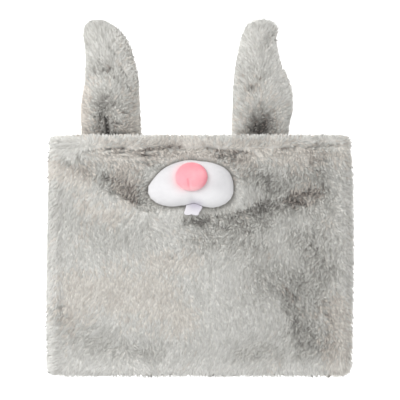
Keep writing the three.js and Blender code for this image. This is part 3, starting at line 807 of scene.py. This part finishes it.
    # Fine fibres pass light on to each other, so each strand is shaded nearly as the cloth that it grows on.
    # Round the side folds it is shaded by its own faces.
    own_normal = add_node(tree, "GeometryNodeInputNormal")
    ground = add_node(tree, "ShaderNodeSeparateXYZ", None, {0: kept["ground"]})
    upward = maths(tree, "ABSOLUTE", ground.outputs["Z"])
    level = maths(tree, "POWER", upward, SIDE_FALL)
    shared = maths(tree, "MULTIPLY_ADD", kept["parted"], OPEN_SHADING, CLOTH_SHADING)
    softness = maths(tree, "MULTIPLY", shared, level)
    blend = {"Factor": softness, 4: own_normal, 5: kept["ground"]}
    soft_normal = add_node(tree, "ShaderNodeMix", {"data_type": "VECTOR"}, blend)
    shading = {"Mesh": mapped, "Custom Normal": soft_normal.outputs[1]}
    softened = add_node(tree, "GeometryNodeSetMeshNormal", {"mode": "FREE", "domain": "POINT"}, shading)
    add_node(tree, "NodeGroupOutput", None, {0: softened})
    return tree


def grow_pile(base, name, spacing, seed, south=-1.0, north=1.0):
    """The tufts of one stretch of a combed piece, as a piece of their own."""
    piece = bpy.data.objects.new(name, base.data.copy())
    scene.collection.objects.link(piece)
    grow = piece.modifiers.new("pile", "NODES")
    grow.node_group = pile_tree(name, spacing, seed, south, north)
    apply_modifiers(piece)
    # The scarf's weight presses the strands under it flat
    for vertex in piece.data.vertices:
        vertex.co.z = max(vertex.co.z, LOWEST_STRAND)
    for layer in ("nap", "palette", "ground", *PILE_VALUES):
        found = piece.data.attributes.get(layer)
        if found:
            piece.data.attributes.remove(found)
    dress(piece, acrylic_pile)
    return piece


# Materials


def new_material(name, look):
    """A material's node tree and its shader, which has that look, ready for the nodes that lead to it."""
    material = bpy.data.materials.new(name)
    material.use_nodes = True
    tree = material.node_tree
    tree.nodes.clear()
    shader = add_node(tree, "ShaderNodeBsdfPrincipled", None, look)
    add_node(tree, "ShaderNodeOutputMaterial", None, {"Surface": shader.outputs[0]})
    return material, tree, shader


def set_ramp(node, stops):
    """Gives a colour ramp its stops, from low to high."""
    ramp = node.color_ramp
    while len(ramp.elements) < len(stops):
        ramp.elements.new(1.0)
    for element, (place, code) in zip(ramp.elements, stops):
        element.position = place
        element.color = rgb(code)


def make_acrylic_pile():
    """Brushed acrylic pile: soft and matt, darker and browner at the roots as painted shade, grey and beige
    strands mixed.
    """
    look = {"Roughness": 0.85, "Sheen Weight": 0.25, "Sheen Roughness": 0.5}
    material, tree, shader = new_material("brushed acrylic faux fur", look)
    strand = add_node(tree, "ShaderNodeUVMap", {"uv_map": "OFBake"})
    parts = add_node(tree, "ShaderNodeSeparateXYZ", None, {0: strand.outputs[0]})
    doubled = maths(tree, "MULTIPLY", parts.outputs["X"], 1 / PALETTE)
    beige = maths(tree, "FLOOR", doubled)
    tone = maths(tree, "FRACT", doubled)
    cool_grey = add_node(tree, RAMP, None, {0: tone})
    set_ramp(cool_grey, [(0.0, "#706d69"), (0.5, "#d0d0cc"), (1.0, "#fffffc")])
    warm_grey = add_node(tree, RAMP, None, {0: tone})
    set_ramp(warm_grey, [(0.0, "#746b66"), (0.5, "#d5cfc8"), (1.0, "#fffdf7")])
    mixed = add_node(tree, "ShaderNodeMix", COLOUR, {"Factor": beige, 6: cool_grey, 7: warm_grey})
    root = add_node(tree, RAMP, None, {0: parts.outputs["Y"]})
    set_ramp(root, [(0.0, "#8f8984"), (ROOT_SHADOW, "#e0ddda"), (0.58, "#f8f7f5"), (1.0, "#ffffff")])
    darken = {"data_type": "RGBA", "blend_type": "MULTIPLY"}
    shaded = add_node(tree, "ShaderNodeMix", darken, {"Factor": 1.0, 6: mixed.outputs[2], 7: root})
    tree.links.new(shaded.outputs[2], shader.inputs["Base Color"])
    return material


def make_backing_cloth():
    """Knitted backing under the pile, and short fleece on the side towards the head."""
    material, tree, shader = new_material("knitted fleece backing", {"Roughness": 0.95})
    place = add_node(tree, "ShaderNodeTexCoord")
    small = {"Vector": place.outputs["Object"], "Scale": 900.0, "Detail": 3.0}
    loops = add_node(tree, NOISE, None, small)
    # The cloth follows the pile's tone, so it carries the same painted shade in the creases and pressed
    # stretches
    tone = add_node(tree, "ShaderNodeAttribute", {"attribute_name": "tone"})
    both = maths(tree, "MULTIPLY_ADD", loops.outputs["Fac"], 0.3, tone.outputs["Fac"])
    colours = add_node(tree, RAMP, None, {0: both})
    set_ramp(colours, [(0.1, "#45423f"), (0.6, "#a5a39e"), (1.0, "#cfcdc8")])
    bumps = {"Strength": 0.6, "Distance": 0.6 * MM, "Height": loops.outputs["Fac"]}
    raised = add_node(tree, "ShaderNodeBump", None, bumps)
    tree.links.new(colours.outputs[0], shader.inputs["Base Color"])
    tree.links.new(raised.outputs[0], shader.inputs["Normal"])
    return material


def make_short_plush(name, low, high, tints):
    """Velour plush with a pile of about 1 mm: nearly smooth, with a faint grain and a soft bright edge.

    Each tint is an attribute of the piece and the colour that the pile takes where it is 1."""
    material, tree, shader = new_material(name, {"Roughness": 0.8, "Sheen Weight": 0.3})
    place = add_node(tree, "ShaderNodeTexCoord")
    place = place.outputs["Object"]
    grain = add_node(tree, NOISE, None, {"Vector": place, "Scale": 1100.0, "Detail": 3.0})
    patches = add_node(tree, NOISE, None, {"Vector": place, "Scale": 60.0, "Detail": 2.0})
    both = maths(tree, "MULTIPLY_ADD", grain.outputs["Fac"], 0.35, patches.outputs["Fac"])
    colours = add_node(tree, RAMP, None, {0: both})
    set_ramp(colours, [(0.45, low), (0.9, high)])
    colour = colours.outputs[0]
    for attribute, code in tints:
        share = add_node(tree, "ShaderNodeAttribute", {"attribute_name": attribute})
        tinted = {"Factor": share.outputs["Fac"], 6: colour, 7: rgb(code)}
        colour = add_node(tree, "ShaderNodeMix", COLOUR, tinted).outputs[2]
    bumps = {"Strength": 0.35, "Distance": 0.4 * MM, "Height": grain.outputs["Fac"]}
    raised = add_node(tree, "ShaderNodeBump", None, bumps)
    tree.links.new(colour, shader.inputs["Base Color"])
    tree.links.new(raised.outputs[0], shader.inputs["Normal"])
    return material


acrylic_pile = make_acrylic_pile()
backing_cloth = make_backing_cloth()
# The white plush's tints: painted light on its lower half, painted dimming on its top and left cheek, the
# nose's painted pink reflection, and a painted shadow at the notch
white_plush = make_short_plush(
    "white velour plush",
    "#d2d1d3",
    "#dddcde",
    [("light", "#f0f0f2"), ("painted_dimming", "#b4b3b5"), ("painted_pink_glow", "#f2b3b8"), ("shade", "#a79fb4")],
)
# The nose's tints: deeper pink, with painted shade at its right rim and tuck, and paler with painted light at
# its lower edge
pink_plush = make_short_plush(
    "pink velour plush", "#ea97a2", "#f0adb4", [("deep", "#d8606f"), ("painted_pale", "#f8d3d6")]
)
# The felt's tint is the painted shadow under the muzzle's edge
white_felt = make_short_plush("white wool felt", "#d2cfd6", "#dedce0", [("shade", "#a79fb4")])


# The tube

front_cloth = even_copy("front_panel", "front_cloth", voxel=2.5 * MM, rounds=2)
thin_to_cloth(front_cloth)
refine(front_cloth, CREASES)
sink(front_cloth, CREASES, FRONT_CREASE_DEPTH)
comb(front_cloth, front_strand)
back_cloth = even_copy("back_panel", "back_cloth", voxel=4 * MM, rounds=2)
thin_to_cloth(back_cloth)
comb(back_cloth, back_strand)
for cloth in (front_cloth, back_cloth):
    dress(cloth, backing_cloth)

# The front's pile is three pieces, with the same seed, so that none holds too many triangles
upper = TOP_Y - (TOP_Y - BOTTOM_Y) * 0.33
lower = TOP_Y - (TOP_Y - BOTTOM_Y) * 0.67
front_piles = [
    grow_pile(front_cloth, "front_pile_upper", FRONT_SPACING, seed=11, south=upper),
    grow_pile(front_cloth, "front_pile_middle", FRONT_SPACING, seed=11, south=lower, north=upper),
    grow_pile(front_cloth, "front_pile_lower", FRONT_SPACING, seed=11, north=lower),
]
grow_pile(back_cloth, "back_pile", BACK_SPACING, seed=12)

# The ears


def make_ear(name, creases, depth, strand_at, seed):
    """One ear: its stuffed body and the pile that grows on it."""
    body = even_copy(name, f"{name}_body", voxel=2 * MM, rounds=3)
    for vertex in body.data.vertices:
        vertex.co = vertex.co - EAR_PILE * vertex.normal
    refine(body, creases)
    sink(body, creases, depth)
    comb(body, strand_at)
    dress(body, backing_cloth)
    grow_pile(body, f"{name}_pile", EAR_SPACING, seed)


left_look = {"level": -0.185, "across": 0.13, "tip_length": 0.3}
left_strand = ear_strand(LEFT_EAR_X, LEFT_EAR_PRESSED_AND_SHADED, LEFT_EAR_CREASES, **left_look)
make_ear("left_ear", LEFT_EAR_CREASES, LEFT_EAR_CREASE_DEPTH, left_strand, seed=13)
right_look = {"level": -0.145, "across": 0.16, "tip_length": 0.7}
right_strand = ear_strand(RIGHT_EAR_X, RIGHT_EAR_PRESSED_AND_SHADED, RIGHT_EAR_CREASES, **right_look)
make_ear("right_ear", RIGHT_EAR_CREASES, RIGHT_EAR_CREASE_DEPTH, right_strand, seed=14)

# The face

muzzle_pad = even_copy("muzzle", "muzzle_pad", voxel=1.2 * MM, rounds=4)
nose_pad = even_copy("nose", "nose_pad", voxel=0.8 * MM, rounds=3)
teeth_tab = even_copy("teeth", "teeth_tab", voxel=0.5 * MM, rounds=2)
dress(muzzle_pad, white_plush)
dress(nose_pad, pink_plush)
dress(teeth_tab, white_felt)
nose_surface = BVHTree.FromBMesh(cad_shape("nose"))
nose_low, nose_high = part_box("nose")
nose_middle = (nose_low + nose_high) / 2
nose_half = (nose_high - nose_low) / 2


def painted_pink_glow_at(point):
    """The pink that the nose casts on the white pile as a painted reflection, most on its left."""
    gap = nose_surface.find_nearest(point)[3]
    left = smooth_step(nose_middle.x - point.x, 0, nose_half.x)
    return (0.12 + 0.7 * left) * math.exp(-gap / (3 * MM))


def deep_at(point):
    """Where the nose's pink is deeper: over its top, and as painted shade round its right rim and down its
    tuck.
    """
    across = (point.x - nose_middle.x) / nose_half.x
    up = (point.y - nose_middle.y) / nose_half.y
    rim = smooth_step(math.hypot(across, up), 0.7, 1.0)
    right_rim_shade = 0.4 * rim * smooth_step(across, 0.3, 0.9)
    return clamp(0.42 * smooth_step(up - 0.3 * across, -0.1, 0.8) + right_rim_shade + 0.4 * nearness(point, TUCK))


def painted_pale_at(point):
    """How the nose pales towards its lower edge, painted light against the shade of that steep edge."""
    return 0.55 * smooth_step(nose_middle.y - point.y, 0.5 * nose_half.y, nose_half.y)


def painted_light_at(point):
    """How much lighter the muzzle's pile is on its lower half, painted light against the shade of its lower
    slope.
    """
    low = smooth_step(14 * MM - point.y, 0, 16 * MM)
    return 0.6 * low * (0.2 + 0.8 * smooth_step(point.x, -40 * MM, -15 * MM))


def painted_dimming_at(point):
    """How much darker the muzzle's pile is along its top and on its left cheek, painted shade where the lamp
    lights it most.
    """
    on_cheek = smooth_step(point.y, 5 * MM, 20 * MM) * smooth_step(-point.x, 8 * MM, 26 * MM)
    return 0.32 * on_cheek + 0.15 * smooth_step(point.y, 24 * MM, 32 * MM)


def notch_at(point):
    """The shadow where the two cheeks meet."""
    return nearness(point, NOTCH)


def tint(piece, name, share_at, most=1.0):
    """Keeps on each vertex how much of a material's tint its pile takes."""
    store(piece, name, "FLOAT", [most * share_at(vertex.co) for vertex in piece.data.vertices])


# Painted light, shade and reflection on the face's plush and felt, besides the nose's own deeper pink over
# its top
tint(muzzle_pad, "light", painted_light_at)
tint(muzzle_pad, "painted_dimming", painted_dimming_at)
tint(muzzle_pad, "painted_pink_glow", painted_pink_glow_at)
tint(muzzle_pad, "shade", notch_at, most=0.55)
tint(nose_pad, "deep", deep_at)
tint(nose_pad, "painted_pale", painted_pale_at)
tint(teeth_tab, "shade", notch_at, most=0.5)

# The studio

floor_shape = bmesh.new()
bmesh.ops.create_grid(floor_shape, x_segments=1, y_segments=1, size=3.0)
floor = add_piece("floor", floor_shape)
paper = {"Base Color": rgb("#fbfbfb"), "Roughness": 0.9}
glow = {"Emission Color": rgb("#ffffff"), "Emission Strength": 0.7}
floor.data.materials.append(new_material("white paper", paper | glow)[0])

world = bpy.data.worlds.new("studio")
world.use_nodes = True
sky = world.node_tree.nodes["Background"]
sky.inputs["Color"].default_value = (1, 1, 1, 1)
sky.inputs["Strength"].default_value = 0.9
scene.world = world


def add_lamp(name, place, target, size, power):
    """A round soft light that shines from one place towards another."""
    lamp = bpy.data.lights.new(name, "AREA")
    lamp.shape = "DISK"
    lamp.size = size
    lamp.energy = power
    holder = bpy.data.objects.new(name, lamp)
    holder.location = place
    holder.rotation_euler = (Vector(target) - Vector(place)).to_track_quat("-Z", "Y").to_euler()
    scene.collection.objects.link(holder)


add_lamp("window_left", place=(-0.8, 0.5, 0.8), target=(0, 0, 0), size=0.8, power=9.0)

lens = bpy.data.cameras.new("camera")
lens.sensor_width = 36.0
lens.lens = lens.sensor_width * CAMERA_HEIGHT / (PHOTO_PIXELS * MM_PER_PIXEL * MM)
camera = bpy.data.objects.new("camera", lens)
camera.location = FRAME_CENTRE + UP * (CAMERA_HEIGHT + PILE_TOP)
scene.collection.objects.link(camera)
scene.camera = camera
scene.view_settings.view_transform = "Standard"
